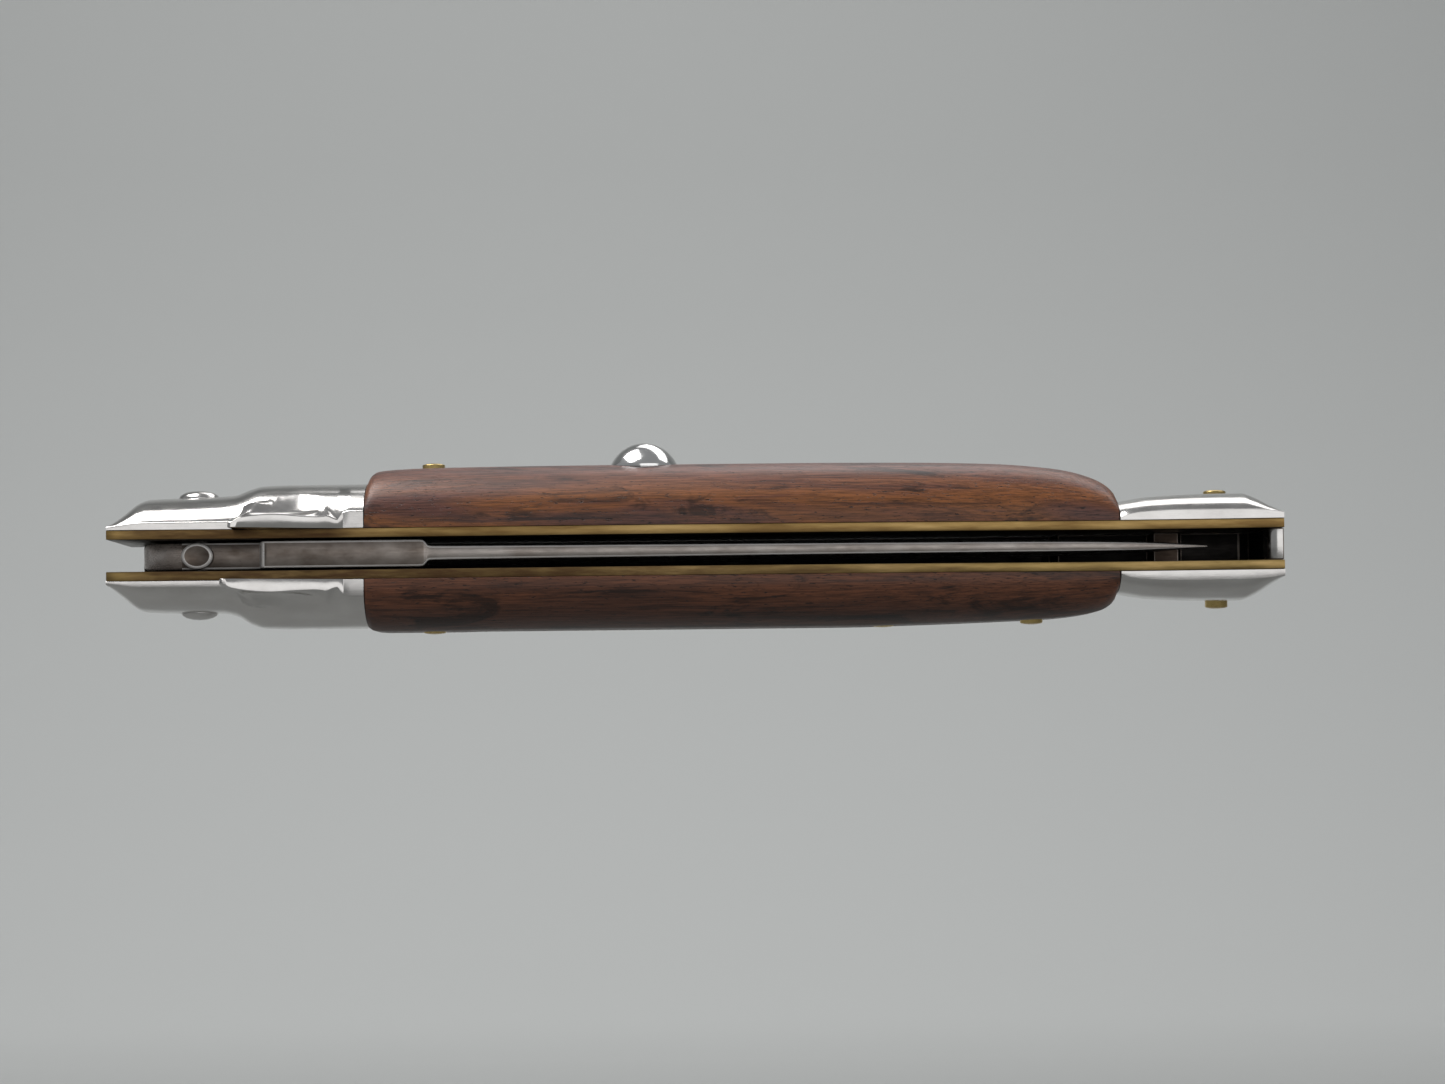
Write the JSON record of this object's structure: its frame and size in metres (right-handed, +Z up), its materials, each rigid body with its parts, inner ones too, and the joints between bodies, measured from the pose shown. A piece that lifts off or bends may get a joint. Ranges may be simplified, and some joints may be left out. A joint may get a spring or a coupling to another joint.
{
  "type": "push-button folding knife",
  "caption": "Closed push-button folding knife with slim wooden handle, steel bolsters with guard ears, folded dagger-style blade, domed button and flexing back spring.",
  "frame": {"origin": "centre of the box's bottom: the closed knife lies on its side on its lower scale", "axes": "+X along the handle from the blade pivot to the butt, -Y out of the blade slot, +Y to the back spring, +Z up to the button"},
  "size_m": [0.128, 0.026, 0.0209],
  "materials": {
    "brass": "satin",
    "pin_brass": "polished",
    "polished_steel": "polished",
    "blade_steel": "satin",
    "spring_steel": "satin",
    "chrome": "polished",
    "rosewood_red": "oiled satin",
    "rosewood_dark": "oiled satin"
  },
  "bodies": {
    "handle": {"liner_upper": "brass", "liner_lower": "brass", "front_bolster_upper": "polished_steel", "front_bolster_lower": "polished_steel", "rear_bolster_upper": "polished_steel", "rear_bolster_lower": "polished_steel", "scale_upper": "rosewood_red", "scale_lower": "rosewood_dark", "back_spring": "spring_steel", "back_spring_rivet": "polished_steel", "kick_spring": "spring_steel", "kick_spring_rivet": "spring_steel", "pivot_pin": "polished_steel", "sear_pivot_pin": "polished_steel", "sear_saddle": "spring_steel", "sear_return_spring": "spring_steel", "front_scale_pin_upper": "pin_brass", "front_scale_pin_lower": "pin_brass", "mid_scale_pin_lower": "pin_brass", "rear_scale_pin_lower": "pin_brass", "rear_bolster_pin": "pin_brass", "bolster_rivet_upper": "polished_steel", "bolster_rivet_lower": "polished_steel"},
    "blade_group": {"blade": "blade_steel", "lock_stud": "blade_steel"},
    "sear": {"button": "chrome", "sear_lever": "spring_steel", "sear_pin": "polished_steel"},
    "lock_arm": {"lock_spring_arm": "spring_steel"}
  },
  "joints": [
    {"name": "blade_pivot", "type": "hinge", "parent": "handle", "child": "blade_group", "pos_m": [-0.055, 0, 0.00868], "axis": [0, 0, -1], "range_deg": [0, 180], "deforming": ["kick_spring"]},
    {"name": "sear_rock", "type": "hinge", "parent": "handle", "child": "sear", "pos_m": [-0.0195, 0, 0.01338], "axis": [0, 1, 0], "range_deg": [-4.5, 4], "stiffness_Nm_per_rad": 0.05, "deforming": ["sear_return_spring"]},
    {"name": "lock_spring_flex", "type": "hinge", "parent": "handle", "child": "lock_arm", "pos_m": [0.03085, 0.0072, 0.00868], "axis": [0, 0, -1], "range_deg": [-0.67, 1.5], "stiffness_Nm_per_rad": 0.8}
  ]
}
